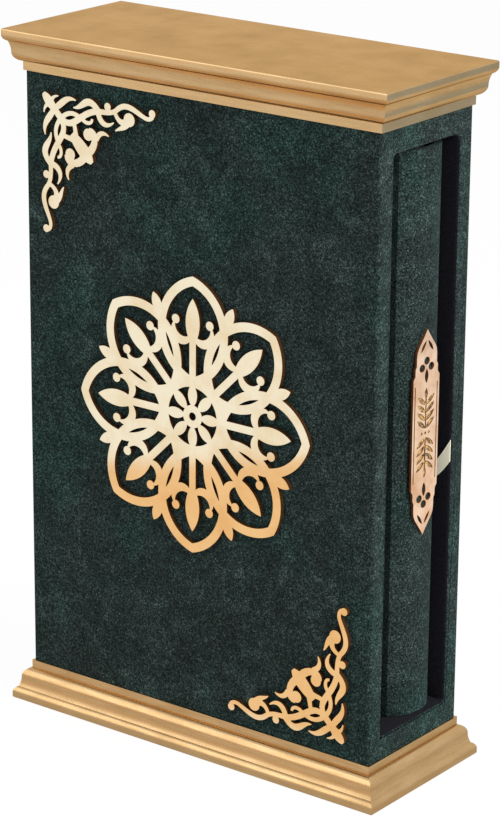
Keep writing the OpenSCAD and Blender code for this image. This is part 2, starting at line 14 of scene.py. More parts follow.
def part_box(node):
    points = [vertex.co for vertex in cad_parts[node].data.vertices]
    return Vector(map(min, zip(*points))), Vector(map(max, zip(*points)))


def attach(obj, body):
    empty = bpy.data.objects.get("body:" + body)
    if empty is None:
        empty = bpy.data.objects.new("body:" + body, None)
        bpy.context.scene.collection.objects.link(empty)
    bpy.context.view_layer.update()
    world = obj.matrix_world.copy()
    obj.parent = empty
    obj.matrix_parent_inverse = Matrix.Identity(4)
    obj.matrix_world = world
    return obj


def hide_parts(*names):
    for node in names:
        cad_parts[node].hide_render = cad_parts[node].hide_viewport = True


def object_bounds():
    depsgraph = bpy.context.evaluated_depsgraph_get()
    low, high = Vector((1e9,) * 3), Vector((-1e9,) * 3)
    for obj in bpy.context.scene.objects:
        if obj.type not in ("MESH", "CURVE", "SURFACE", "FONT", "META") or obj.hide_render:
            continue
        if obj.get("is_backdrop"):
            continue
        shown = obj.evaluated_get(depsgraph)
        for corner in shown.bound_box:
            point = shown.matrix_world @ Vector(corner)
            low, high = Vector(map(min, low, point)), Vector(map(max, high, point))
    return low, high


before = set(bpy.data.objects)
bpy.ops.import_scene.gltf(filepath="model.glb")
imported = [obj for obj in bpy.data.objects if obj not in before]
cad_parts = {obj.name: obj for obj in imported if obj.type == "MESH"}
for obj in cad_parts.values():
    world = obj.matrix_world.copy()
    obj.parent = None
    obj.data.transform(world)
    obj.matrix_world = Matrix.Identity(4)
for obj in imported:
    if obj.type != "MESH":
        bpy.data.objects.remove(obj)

LOG = logging.getLogger("slipcase")
MM = 0.001
TOUCH = 1e-6  # places nearer than this are the same
WAVE = 2 * math.pi / 20  # length of a wave at scale 1
WHITE = "#ffffff"
SPINE_RISE = 6.9 * MM
PLAQUE_T = 1.0 * MM
PLAQUE_TURN = math.radians(-7.0)
FLAT_ANGLE = math.radians(1.0)
FOLD_ANGLE = math.radians(50.0)

Material, Object = bpy.types.Material, bpy.types.Object
Node, Socket, Tree = bpy.types.Node, bpy.types.NodeSocket, bpy.types.NodeTree
Colour = tuple[float, float, float, float]
Triple = tuple[float, float, float]


class Part(Enum):
    """Kind of mesh part that an edit-mode selection picks."""

    FACE = "FACE"
    EDGE = "EDGE"


class Cut(Enum):
    """Which ornament finish a plate is cut from."""

    YELLOW = "yellow gold"
    ROSE = "rose gold"


class Finish(Protocol):
    """A finish that can make its own material."""

    def material(self) -> Material:
        """Make the material."""


def linear(code: str) -> Colour:
    """Turn an sRGB hex colour into linear light.

    Args:
        code: Colour such as "#28332f".

    Returns:
        Linear red, green and blue, and an alpha of 1.
    """
    parts = [int(code[i:i + 2], 16) / 255 for i in (1, 3, 5)]
    r, g, b = (c / 12.92 if c <= 0.04045 else ((c + 0.055) / 1.055) ** 2.4 for c in parts)
    return r, g, b, 1.0


def per_mm(size: float) -> float:
    """Texture scale, in repeats per metre, whose features are about a given number of millimetres."""
    return 1.0 / (size * MM)


def waves_per_mm(size: float) -> float:
    """Wave texture scale whose waves lie a given number of millimetres apart."""
    return WAVE * per_mm(size)


def add(tree: Tree, kind: str, inputs: dict | None = None, **settings) -> Node:
    """Add a node with its settings and links.

    Args:
        tree: Node tree that gets the node.
        kind: Node type name.
        inputs: Values or output sockets by input name or number.
        **settings: Attributes of the node itself.

    Returns:
        The new node.
    """
    node = tree.nodes.new(kind)
    for name, value in settings.items():
        setattr(node, name, value)
    for key, value in (inputs or {}).items():
        socket = node.inputs[key]
        if isinstance(value, Socket):
            tree.links.new(value, socket)
        else:
            socket.default_value = value
    return node


def ramp(tree: Tree, factor: Socket, stops: list[tuple[float, str]]) -> Socket:
    """Add a colour ramp.

    Args:
        tree: Node tree that gets the ramp.
        factor: Socket that drives it.
        stops: Positions and sRGB hex colours, in order.

    Returns:
        The ramp's colour socket.
    """
    node = add(tree, "ShaderNodeValToRGB", {"Fac": factor})
    band = node.color_ramp
    while len(band.elements) < len(stops):
        band.elements.new(1.0)
    for element, (place, code) in zip(band.elements, stops):
        element.position = place
        element.color = linear(code)
    return node.outputs["Color"]


def noise(tree: Tree, coords: Socket, size: float, detail: float, rough: float = 0.5, warp: float = 0.0) -> Socket:
    """Add a noise.

    Args:
        tree: Node tree that gets it.
        coords: Coordinates in metres.
        size: Size of its features in millimetres.
        detail: How many finer layers it has.
        rough: How strong they are.
        warp: How far they are drawn out of shape.

    Returns:
        The noise's value.
    """
    return add(tree, "ShaderNodeTexNoise", {
        "Vector": coords, "Scale": per_mm(size), "Detail": detail, "Roughness": rough,
        "Distortion": warp}).outputs["Fac"]


def bump(tree: Tree, height: Socket, depth: float, strength: float, under: Socket | None = None) -> Socket:
    """Add a relief.

    Args:
        tree: Node tree that gets it.
        height: Socket that drives it.
        depth: Its depth in millimetres.
        strength: How much of it shows.
        under: A coarser relief that it lies on.

    Returns:
        The surface normal.
    """
    inputs = {"Height": height, "Distance": depth * MM, "Strength": strength}
    if under is not None:
        inputs["Normal"] = under
    return add(tree, "ShaderNodeBump", inputs).outputs[0]


def blend(tree: Tree, share: Socket | float, first: Socket, second: Socket) -> Socket:
    """Mix two values by the second one's share."""
    return add(tree, "ShaderNodeMix", {"Factor": share, 2: first, 3: second}, data_type="FLOAT").outputs[0]


def tinted(tree: Tree, share: Socket, first: Socket | Colour, second: Socket | Colour) -> Socket:
    """Mix two colours by the second one's share."""
    return add(tree, "ShaderNodeMix", {"Factor": share, 6: first, 7: second}, data_type="RGBA").outputs[2]


def reckon(tree: Tree, operation: str, *values: Socket | float) -> Socket:
    """Do a sum with one or two values."""
    return add(tree, "ShaderNodeMath", dict(enumerate(values)), operation=operation).outputs[0]


def measure(tree: Tree, place: Socket, axis: Triple) -> Socket:
    """Measure a place or a direction along an axis."""
    return add(tree, "ShaderNodeVectorMath", {0: place, 1: axis}, operation="DOT_PRODUCT").outputs["Value"]


def remap(tree: Tree, value: Socket, start: float, end: float, first: float = 0.0, last: float = 1.0) -> Socket:
    """Change from a first to a last number while a value runs from start to end."""
    return add(tree, "ShaderNodeMapRange", {
        "Value": value, "From Min": start, "From Max": end, "To Min": first, "To Max": last}).outputs[0]


def coat(tree: Tree, inputs: dict) -> Node:
    """Add a surface shader with these values and links."""
    return add(tree, "ShaderNodeBsdfPrincipled", inputs)


def new_material(name: str) -> tuple[Material, Tree, Socket]:
    """Start a material with an empty tree.

    Args:
        name: Name of the real material.

    Returns:
        The material, its tree and its Object coordinate socket.
    """
    material = bpy.data.materials.new(name)
    material.use_nodes = True
    tree = material.node_tree
    tree.nodes.clear()
    coords = add(tree, "ShaderNodeTexCoord").outputs["Object"]
    return material, tree, coords


def close(material: Material, shader: Node) -> Material:
    """Link a shader to a material's output and hand the material back."""
    add(material.node_tree, "ShaderNodeOutputMaterial", {"Surface": shader.outputs[0]})
    return material


def plaque_face() -> tuple[Triple, float]:
    """Find the plane of the plaque's face from the book's box: the plaque's back touches the round of the spine.

    Returns:
        The normal of the face and its distance from the origin.
    """
    low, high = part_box("book_cover_cloth")
    half = (high.y - low.y) / 2
    radius = (half * half + SPINE_RISE * SPINE_RISE) / (2 * SPINE_RISE)
    normal = Vector((math.cos(PLAQUE_TURN), math.sin(PLAQUE_TURN), 0.0))
    heart = Vector((high.x - radius, low.y + half, 0.0))
    return tuple(normal), heart.dot(normal) + radius + PLAQUE_T


@dataclass(frozen=True)
class CrushedVelvet:
    """Cotton velvet, pressed while damp so that its pile lies in patches.

    Painted shade and sheen stand for the pile's lean: patches are almost black where it would lean away and paler
    where it would lean to the eye, some patches turn greener than others, fine creases get painted highlights, and the
    fibre tips give a soft pale rim at grazing angles.
    """

    name: str = "cotton velvet, crushed"
    shadow: str = "#0b1211"
    body: str = "#1d2624"
    lit: str = "#2b3836"
    fleck: str = "#52615c"
    green_body: str = "#192926"
    green_lit: str = "#28403b"
    tips: str = "#b3c6c6"
    cast_mm: float = 48.0
    patch_mm: float = 17.0
    crease_mm: float = 9.0
    pile_mm: float = 0.75
    warp: float = 0.3
    crease_share: float = 0.35
    pile_share: float = 0.76

    def material(self) -> Material:
        """Make the velvet.

        Returns:
            A dark pile with painted shade and sheen in patches, painted highlights on creases, and fibre grain.
        """
        material, tree, coords = new_material(self.name)
        cast = noise(tree, coords, self.cast_mm, 3.0, 0.5, self.warp)
        patches = noise(tree, coords, self.patch_mm, 5.0, 0.62, self.warp)
        pile = noise(tree, coords, self.pile_mm, 3.0, 0.75, self.warp)
        creases = add(tree, "ShaderNodeTexNoise", {
            "Vector": coords, "Scale": per_mm(self.crease_mm), "Detail": 4.0, "Roughness": 0.6, "Lacunarity": 2.2,
            "Distortion": 0.9}, noise_type="RIDGED_MULTIFRACTAL", normalize=True)
        # patches and creases paint shade, sheen and highlights into the base colour, as the pile's lean would show them
        broad = blend(tree, self.crease_share, patches, creases.outputs["Fac"])
        mixed = blend(tree, self.pile_share, broad, pile)
        plain = self.tones(tree, mixed, self.body, self.lit)
        greener = self.tones(tree, mixed, self.green_body, self.green_lit)
        relief = bump(tree, broad, 1.2, 0.5)
        return close(material, coat(tree, {
            "Base Color": tinted(tree, remap(tree, cast, 0.46, 0.68), plain, greener), "Roughness": 0.9,
            "Specular IOR Level": 0.05, "Sheen Weight": 0.05, "Sheen Roughness": 0.5, "Sheen Tint": linear(self.tips),
            "Normal": bump(tree, pile, 0.4, 0.5, relief)}))

    def tones(self, tree: Tree, mixed: Socket, body: str, lit: str) -> Socket:
        """Run from the velvet's painted shade to its flecks by way of a body tone and a painted sheen tone."""
        return ramp(tree, mixed, [(0.38, self.shadow), (0.46, body), (0.53, lit), (0.62, self.fleck)])


@dataclass(frozen=True)
class FlockedLining:
    """Short nylon flock blown on paper: almost black, with a dull purple cast."""

    name: str = "nylon flock on paper"
    deep: str = "#0b0a0e"
    tip: str = "#1c1a22"
    grain_mm: float = 0.7

    def material(self) -> Material:
        """Make the lining.

        Returns:
            A dark matt grain.
        """
        material, tree, coords = new_material(self.name)
        grain = noise(tree, coords, self.grain_mm, 3.0, 0.65)
        return close(material, coat(tree, {
            "Base Color": ramp(tree, grain, [(0.35, self.deep), (0.7, self.tip)]), "Roughness": 0.92,
            "Specular IOR Level": 0.1, "Sheen Weight": 0.03, "Sheen Roughness": 0.4,
            "Normal": bump(tree, grain, 0.2, 0.5)}))


@dataclass(frozen=True)
class BronzeGoldLacquer:
    """Bronze-gold powder in lacquer, sprayed on machined fibreboard.

    It shines like satin metal. Faint streaks along the moulding are painted reflection bands in the colour and also
    vary the roughness and relief, and the powder makes a fine grit.
    """

    name: str = "bronze gold lacquer on fibreboard"
    shade_and_dark_tone: str = "#9c8058"
    body: str = "#bb9a6e"
    bright: str = "#d4b58a"
    rim: str = "#efd6b2"
    cloud_mm: float = 30.0
    reflection_streak_mm: float = 1.6
    reflection_streak_run: float = 0.1
    grit_mm: float = 0.6
    grit_share: float = 0.35
    mark_share: float = 0.75

    def material(self) -> Material:
        """Make the lacquer.

        Returns:
            A satin metal with grit, painted reflection streaks along the moulding and faint clouding.
        """
        material, tree, coords = new_material(self.name)
        clouds = noise(tree, coords, self.cloud_mm, 3.0)
        grit = noise(tree, coords, self.grit_mm, 2.0, 0.6)
        # streaks stretched along the moulding paint reflection bands into the colour and vary the roughness and relief
        run = add(tree, "ShaderNodeVectorMath", {
            0: coords, 1: (self.reflection_streak_run, self.reflection_streak_run, 1.0)}, operation="MULTIPLY")
        reflection_streaks = noise(tree, run.outputs[0], self.reflection_streak_mm, 3.0, 0.6)
        marks = blend(tree, self.grit_share, reflection_streaks, grit)
        mixed = blend(tree, self.mark_share, clouds, marks)
        # the darkest tone paints shade as well as darker lacquer, the brightest paints highlights as well as paler
        # lacquer
        return close(material, coat(tree, {
            "Base Color": ramp(tree, mixed, [(0.2, self.shade_and_dark_tone), (0.5, self.body), (0.85, self.bright)]),
            "Metallic": 1.0, "Specular Tint": linear(self.rim), "Roughness": remap(tree, mixed, 0.35, 0.65, 0.34, 0.22),
            "Normal": bump(tree, marks, 0.015, 0.3)}))


@dataclass(frozen=True)
class MirrorAcrylic:
    """Cast acrylic sheet with a vacuum-metallised gold skin, cut by laser.

    It mirrors the room in a gold tint, with faint smudges that roughen it; their darker tint is a painted reflection.
    Its cut edges are dark brown. Where an engraving breaks the skin, the core shows, dark brown as painted shade with
    painted glints.
    """

    cut: Cut
    tint: str
    painted_reflection_tone: str
    edge: str
    roughness: float
    normal: Triple = (0.0, -1.0, 0.0)
    face_at: float | None = None
    core: str = "#36240f"
    painted_glint: str = "#b88e4e"
    smudge_and_reflection_mm: float = 14.0
    glint_mm: float = 1.3
    skin_t: float = 0.2 * MM
    facing_least: float = 0.7

    def material(self) -> Material:
        """Make the mirror.

        Returns:
            A tinted mirror with slight smudges and a painted reflection, dark brown edges and, if an engraved face is
            given, lines of painted shade and glints.
        """
        material, tree, coords = new_material(f"mirror acrylic, {self.cut.value}")
        # the film's darker tint is a painted reflection; its rougher patches stand for real smudges
        film = noise(tree, coords, self.smudge_and_reflection_mm, 4.0, 0.6)
        skin = coat(tree, {
            "Base Color": ramp(tree, film, [(0.35, self.painted_reflection_tone), (0.6, self.tint)]), "Metallic": 1.0,
            "Roughness": remap(tree, film, 0.3, 0.7, self.roughness * 1.6, self.roughness)})
        if self.face_at is not None:
            skin = self.engrave(tree, coords, skin)
        facing = measure(tree, add(tree, "ShaderNodeTexCoord").outputs["Normal"], self.normal)
        # the cut edges are drawn a plain dark brown
        side = coat(tree, {"Base Color": linear(self.edge), "Roughness": 0.45, "Specular IOR Level": 0.2})
        return close(material, add(tree, "ShaderNodeMixShader", {
            0: reckon(tree, "GREATER_THAN", facing, self.facing_least), 1: side.outputs[0], 2: skin.outputs[0]}))

    def engrave(self, tree: Tree, coords: Socket, skin: Node) -> Node:
        """Bare the core where the plate lies below its face, with painted shade and painted glints in the engraving.

        Args:
            tree: Node tree of the material.
            coords: Coordinates in metres.
            skin: Shader of the whole skin.

        Returns:
            The skin with its engraving.
        """
        below = reckon(tree, "LESS_THAN", measure(tree, coords, self.normal), self.face_at - self.skin_t)
        # painted shade darkens the engraved floor, with painted glints of gold in it
        shade_and_glint = noise(tree, coords, self.glint_mm, 3.0, 0.6)
        bare = coat(tree, {
            "Base Color": ramp(tree, shade_and_glint, [(0.38, self.core), (0.64, self.painted_glint)]), "Roughness": 0.5})
        return add(tree, "ShaderNodeMixShader", {0: below, 1: skin.outputs[0], 2: bare.outputs[0]})


@dataclass(frozen=True)
class SatinRibbon:
    """Double-face polyester satin: smooth warp floats run along the ribbon and give a soft streaked shine."""

    name: str = "polyester satin"
    float_light: str = "#fffbe6"
    float_dark: str = "#f3e8c4"
    thread_mm: float = 0.5

    def material(self) -> Material:
        """Make the satin.

        Returns:
            A cream cloth with fine lines along its UV length.
        """
        material, tree, _ = new_material(self.name)
        across = add(tree, "ShaderNodeUVMap", uv_map="along")
        threads = add(tree, "ShaderNodeTexWave", {
            "Vector": across.outputs[0], "Scale": waves_per_mm(self.thread_mm), "Distortion": 1.2,
            "Detail": 2.0}, bands_direction="Y").outputs["Fac"]
        return close(material, coat(tree, {
            "Base Color": ramp(tree, threads, [(0.1, self.float_dark), (0.8, self.float_light)]), "Roughness": 0.42,
            "Sheen Weight": 0.5, "Sheen Roughness": 0.5, "Normal": bump(tree, threads, 0.06, 0.4)}))


@dataclass(frozen=True)
class PageEdges:
    """Trimmed book paper: cream, with the edges of the sheets as fine lines along the block."""

    name: str = "book paper, trimmed"
    gap: str = "#b9a987"
    sheet: str = "#ece0c2"
    pale: str = "#f3e9cf"
    sheet_mm: float = 0.6
    gather_mm: float = 4.0
    gather_share: float = 0.3

    def material(self) -> Material:
        """Make the paper; the sheets are drawn coarser than real so that they show.

        Returns:
            Cream paper with lines across the block's thickness.
        """
        material, tree, coords = new_material(self.name)
        sheets = add(tree, "ShaderNodeTexWave", {
            "Vector": coords, "Scale": waves_per_mm(self.sheet_mm), "Distortion": 1.6, "Detail": 3.0,
            "Detail Scale": 1.5}, bands_direction="Y")
        gathers = add(tree, "ShaderNodeTexWave", {
            "Vector": coords, "Scale": waves_per_mm(self.gather_mm), "Distortion": 0.6}, bands_direction="Y")
        mixed = blend(tree, self.gather_share, sheets.outputs["Fac"], gathers.outputs["Fac"])
        return close(material, coat(tree, {
            "Base Color": ramp(tree, mixed, [(0.05, self.gap), (0.45, self.sheet), (0.9, self.pale)]),
            "Roughness": 0.8, "Specular IOR Level": 0.3, "Normal": bump(tree, mixed, 0.1, 0.4)}))


@dataclass(frozen=True)
class PressedFibre:
    """Pressed wood fibre, as fibreboard, card and paper are: short fibres in random directions, matt."""

    name: str
    dark: str
    pale: str
    fibre_mm: float

    def material(self) -> Material:
        """Make the fibre sheet.

        Returns:
            A matt fibrous surface.
        """
        material, tree, coords = new_material(self.name)
        fibres = noise(tree, coords, self.fibre_mm, 5.0, 0.7, 1.5)
        return close(material, coat(tree, {
            "Base Color": ramp(tree, fibres, [(0.35, self.dark), (0.65, self.pale)]), "Roughness": 0.85,
            "Specular IOR Level": 0.3, "Normal": bump(tree, fibres, 0.08, 0.4)}))


@dataclass(frozen=True)
class TurnedBeech:
    """Beech rod: pale wood with long pores along the rod."""

    name: str = "beech, turned"
    pore: str = "#b98f5f"
    wood: str = "#dcbf92"
    pore_mm: float = 0.8
    pore_run: float = 0.12

    def material(self) -> Material:
        """Make the beech.

        Returns:
            Pale wood with upright pores.
        """
        material, tree, coords = new_material(self.name)
        drawn = add(tree, "ShaderNodeMapping", {"Vector": coords, "Scale": (1.0, 1.0, self.pore_run)})
        pores = noise(tree, drawn.outputs[0], self.pore_mm, 4.0, 0.6)
        return close(material, coat(tree, {
            "Base Color": ramp(tree, pores, [(0.35, self.pore), (0.6, self.wood)]), "Roughness": 0.6}))


@dataclass(frozen=True)
class YellowZinc:
    """Steel with yellow passivated zinc: a dull metal with faint iridescent clouds."""

    name: str = "steel, yellow zinc plated"
    green: str = "#a8a06a"
    gold: str = "#d0b070"
    cloud_mm: float = 2.0

    def material(self) -> Material:
        """Make the plating.

        Returns:
            A clouded yellow metal.
        """
        material, tree, coords = new_material(self.name)
        clouds = noise(tree, coords, self.cloud_mm, 3.0)
        return close(material, coat(tree, {
            "Base Color": ramp(tree, clouds, [(0.35, self.green), (0.65, self.gold)]), "Metallic": 1.0,
            "Roughness": 0.35}))


@dataclass(frozen=True)
class TwistedThread:
    """Mercerised cotton thread, wound side by side: a slight gloss over fine twist lines."""

    name: str
    dark: str
    pale: str
    twist_mm: float = 0.3

    def material(self) -> Material:
        """Make the thread.

        Returns:
            A thread with slanting twist lines.
        """
        material, tree, coords = new_material(self.name)
        slant = add(tree, "ShaderNodeMapping", {"Vector": coords, "Rotation": (0.6, 0.4, 0.5)})
        twist = add(tree, "ShaderNodeTexWave", {
            "Vector": slant.outputs[0], "Scale": waves_per_mm(self.twist_mm), "Distortion": 0.8}).outputs["Fac"]
        return close(material, coat(tree, {
            "Base Color": ramp(tree, twist, [(0.15, self.dark), (0.8, self.pale)]), "Roughness": 0.55,
            "Sheen Weight": 0.2, "Normal": bump(tree, twist, 0.05, 0.5)}))


VELVET = CrushedVelvet()
LINING = FlockedLining()
GILT = BronzeGoldLacquer()
MIRROR_GOLD = MirrorAcrylic(Cut.YELLOW, "#f3e7cb", "#ebd7b2", "#42270f", 0.06)
ROSE_GOLD = MirrorAcrylic(Cut.ROSE, "#f3d2b4", "#d9a880", "#6b3e1e", 0.16, *plaque_face())
SATIN = SatinRibbon()
PAGES = PageEdges()
FIBREBOARD = PressedFibre("medium density fibreboard", "#8f7350", "#b3946c", 1.2)
GREY_CARD = PressedFibre("grey bookbinding card", "#7d766b", "#9a9285", 0.9)
ENDPAPER = PressedFibre("laid endpaper", "#e2d5b6", "#efe5cc", 0.7)
BEECH = TurnedBeech()
ZINC = YellowZinc()
GOLD_THREAD = TwistedThread("cotton thread, old gold", "#8f7233", "#d9bd6c")
GREEN_THREAD = TwistedThread("cotton thread, green", "#1d3a33", "#3f6a5e")
MULL = TwistedThread("starched cotton mull", "#b9b1a0", "#ddd6c6")


class Wardrobe:
    """Makes each finish's material once and puts it on pieces."""

    def __init__(self) -> None:
        """Start with no materials made."""
        self._made: dict[Finish, Material] = {}

    def of(self, finish: Finish) -> Material:
        """Material of a finish, made on first use."""
        if finish not in self._made:
            self._made[finish] = finish.material()
        return self._made[finish]

    def put_on(self, piece: Object, *finishes: Finish) -> None:
        """Give a piece these finishes, one in each slot."""
        piece.data.materials.clear()
        for finish in finishes:
            piece.data.materials.append(self.of(finish))

    def put_on_nodes(self, names: list[str], finish: Finish) -> None:
        """Give CAD nodes a finish and report them.

        Args:
            names: Node names.
            finish: The finish for all of them.
        """
        for name in names:
            self.put_on(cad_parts[name], finish)
            LOG.info("dressed node %s", name)


def clear_selection() -> None:
    """Leave nothing selected, so that an operator acts on new work alone."""
    if bpy.context.object and bpy.context.object.mode != "OBJECT":
        bpy.ops.object.mode_set(mode="OBJECT")
    bpy.ops.object.select_all(action="DESELECT")


def activate(piece: Object) -> None:
    """Select one piece alone and make it the active object."""
    clear_selection()
    piece.select_set(True)
    bpy.context.view_layer.objects.active = piece


def pick(piece: Object, part: Part, test: Callable[[Vector, list[Vector]], bool]) -> None:
    """Select in edit mode the faces or edges that pass a test.

    Args:
        piece: Object in edit mode.
        part: Whether faces or edges are tested.
        test: Called with the middle and the corner points of each.
    """
    bpy.ops.mesh.select_mode(type=part.value)
    bpy.ops.mesh.select_all(action="DESELECT")
    mesh = bmesh.from_edit_mesh(piece.data)
    for item in mesh.faces if part is Part.FACE else mesh.edges:
        points = [v.co.copy() for v in item.verts]
        if test(sum(points, Vector()) / len(points), points):
            item.select_set(True)
    bmesh.update_edit_mesh(piece.data)


def apply_modifiers(piece: Object) -> None:
    """Apply a piece's modifiers in order."""
    activate(piece)
    for modifier in list(piece.modifiers):
        bpy.ops.object.modifier_apply(modifier=modifier.name)


def smooth(piece: Object, angle: float = 35.0) -> None:
    """Shade a piece smooth across edges flatter than an angle in degrees, with its broad faces kept flat."""
    activate(piece)
    bpy.ops.object.shade_smooth_by_angle(angle=math.radians(angle))
    weighted = piece.modifiers.new("flat faces", "WEIGHTED_NORMAL")
    weighted.keep_sharp = True
    bpy.ops.object.modifier_apply(modifier=weighted.name)


def merged_copy(node: str, name: str) -> Object:
    """Copy a CAD solid with its triangles joined.

    Args:
        node: CAD node that is copied.
        name: Name of the new piece.

    Returns:
        The new piece, at the origin.
    """
    clear_selection()
    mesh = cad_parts[node].data.copy()
    mesh.name = name
    piece = bpy.data.objects.new(name, mesh)
    bpy.context.scene.collection.objects.link(piece)
    activate(piece)
    if mesh.has_custom_normals:
        bpy.ops.mesh.customdata_custom_splitnormals_clear()
    bpy.ops.object.mode_set(mode="EDIT")
    bpy.ops.mesh.select_all(action="SELECT")
    bpy.ops.mesh.remove_doubles(threshold=TOUCH)
    bpy.ops.object.mode_set(mode="OBJECT")
    return piece


def softened_copy(node: str, name: str, radius: float) -> Object:
    """Copy a CAD cloth solid and round its edges as folded cloth.

    Args:
        node: CAD node that is copied.
        name: Name of the new piece.
        radius: Radius of the folded edges, in metres.

    Returns:
        The new piece, at the origin.
    """
    piece = merged_copy(node, name)
    bpy.ops.object.mode_set(mode="EDIT")
    bpy.ops.mesh.select_all(action="SELECT")
    bpy.ops.mesh.dissolve_limited(angle_limit=FLAT_ANGLE)
    bpy.ops.object.mode_set(mode="OBJECT")
    bevel = piece.modifiers.new("folded edges", "BEVEL")
    bevel.width = radius
    bevel.segments = 3
    bevel.limit_method = "ANGLE"
    bevel.angle_limit = FOLD_ANGLE
    bevel.use_clamp_overlap = True
    apply_modifiers(piece)
    smooth(piece)
    return piece


@dataclass
class Case:
    """The velvet-covered case with its mouldings, ornaments and lining."""

    wardrobe: Wardrobe
    cloth_t: float = 0.6 * MM
    edge_r: float = 1.5 * MM
    head_corner_r: float = 3.0 * MM
    foot_corner_r: float = 1.0 * MM
    rim_r: float = 1.7 * MM
    lining_r: float = 0.25 * MM
    upright_least: float = 0.1
    corner_least: float = 1.0 * MM
    reveal_slack: float = 0.1 * MM
    reveal_lean: float = 0.6

    def build(self) -> None:
        """Make the case's cloth pieces and dress its CAD nodes."""
        self.cover()
        self.lining()
        self.wardrobe.put_on_nodes(["cornice", "base"], GILT)
        self.wardrobe.put_on_nodes(["corner_ornament_upper", "corner_ornament_lower", "centre_medallion"], MIRROR_GOLD)
        self.wardrobe.put_on_nodes([
            "case_front_board", "case_back_board", "case_end_board", "case_top_board", "case_floor_board"], FIBREBOARD)
        self.wardrobe.put_on_nodes(["cornice_dowels"], BEECH)
        self.wardrobe.put_on_nodes(["base_screws"], ZINC)

    def cover(self) -> None:
        """Model the velvet: a box open above and below, with its mouth's edges folded in."""
        low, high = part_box("case_cover_cloth")
        pocket_low, pocket_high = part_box("case_lining")
        half = pocket_high.y - self.cloth_t
        foot, head = pocket_low.z + self.cloth_t, pocket_high.z - self.cloth_t
        middle = (low + high) / 2
        clear_selection()
        bpy.ops.mesh.primitive_cube_add(size=1.0, location=middle, scale=high - low)
        piece = bpy.context.object
        piece.name = "case_velvet"
        bpy.ops.object.transform_apply(location=True, rotation=True, scale=True)
        bpy.ops.object.mode_set(mode="EDIT")
        pick(piece, Part.FACE, lambda c, p: abs(c.x - high.x) < TOUCH)
        stile = high.y - half
        bpy.ops.mesh.inset(thickness=stile)
        bpy.ops.transform.resize(
            value=(1.0, 1.0, (head - foot) / (high.z - low.z - 2 * stile)), center_override=(high.x, 0.0, middle.z))
        bpy.ops.mesh.extrude_region_move(TRANSFORM_OT_translate={"value": (pocket_high.x - high.x, 0.0, 0.0)})
        bpy.ops.mesh.delete(type="ONLY_FACE")
        pick(piece, Part.FACE, lambda c, p: abs(c.z - low.z) < TOUCH or abs(c.z - high.z) < TOUCH)
        bpy.ops.mesh.delete(type="ONLY_FACE")
        self.fold_edges(piece, high, half, foot, head)
        bpy.ops.object.mode_set(mode="OBJECT")
        wall = piece.modifiers.new("cloth", "SOLIDIFY")
        wall.thickness = self.cloth_t
        wall.offset = -1.0
        apply_modifiers(piece)
        smooth(piece)
        self.wardrobe.put_on(piece, VELVET, LINING)
        self.line_reveal(piece, half, foot, head)
        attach(piece, "case")
        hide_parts("case_cover_cloth")
        LOG.info("made %s", piece.name)

    def line_reveal(self, piece: Object, half: float, foot: float, head: float) -> None:
        """Flock the velvet that is turned in round the mouth, up to the middle of the rim.

        Args:
            piece: The velvet, with the flock as its second finish.
            half: Half the mouth's width.
            foot: Height of the mouth's foot.
            head: Height of the mouth's head.
        """
        reach = self.rim_r + self.reveal_slack
        for face in piece.data.polygons:
            c = face.center
            within = abs(c.y) < half + reach and foot - reach < c.z < head + reach
            inward = face.normal.y * c.y + face.normal.z * (c.z - (foot + head) / 2) < 0.0
            if within and inward and abs(face.normal.x) < self.reveal_lean:
                face.material_index = 1

    def fold_edges(self, piece: Object, high: Vector, half: float, foot: float, head: float) -> None:
        """Round the velvet's uprights, the mouth's corners and the mouth's rim.

        Args:
            piece: The velvet in edit mode.
            high: Highest corner of the case.
            half: Half the mouth's width.
            foot: Height of the mouth's foot.
            head: Height of the mouth's head.
        """
        def upright(c: Vector, p: list[Vector]) -> bool:
            """True for the case's four outer upright edges."""
            outer = abs(abs(c.y) - high.y) < TOUCH and abs(abs(c.x) - high.x) < TOUCH
            return outer and abs(p[0].z - p[1].z) > self.upright_least

        def mouth_corner(z: float) -> Callable[[Vector, list[Vector]], bool]:
            """Test for the mouth's corner edges at a height."""
            return lambda c, p: (abs(abs(c.y) - half) < TOUCH and abs(c.z - z) < TOUCH
                                 and abs(p[0].x - p[1].x) > self.corner_least)

        def rim(c: Vector, p: list[Vector]) -> bool:
            """True for the edges round the mouth in the case's end face."""
            flat = all(abs(q.x - high.x) < TOUCH for q in p)
            return flat and abs(c.y) < half + TOUCH and foot - TOUCH < c.z < head + TOUCH

        pick(piece, Part.EDGE, upright)
        bpy.ops.mesh.bevel(offset=self.edge_r, segments=4, affect="EDGES")
        for z, radius in ((head, self.head_corner_r), (foot, self.foot_corner_r)):
            pick(piece, Part.EDGE, mouth_corner(z))
            bpy.ops.mesh.bevel(offset=radius, segments=6, affect="EDGES")
        pick(piece, Part.EDGE, rim)
        bpy.ops.mesh.bevel(offset=self.rim_r, segments=5, affect="EDGES")

    def lining(self) -> None:
        """Model the lining from its CAD solid."""
        piece = softened_copy("case_lining", "case_flock_lining", self.lining_r)
        self.wardrobe.put_on(piece, LINING)
        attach(piece, "case")
        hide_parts("case_lining")
        LOG.info("made %s", piece.name)


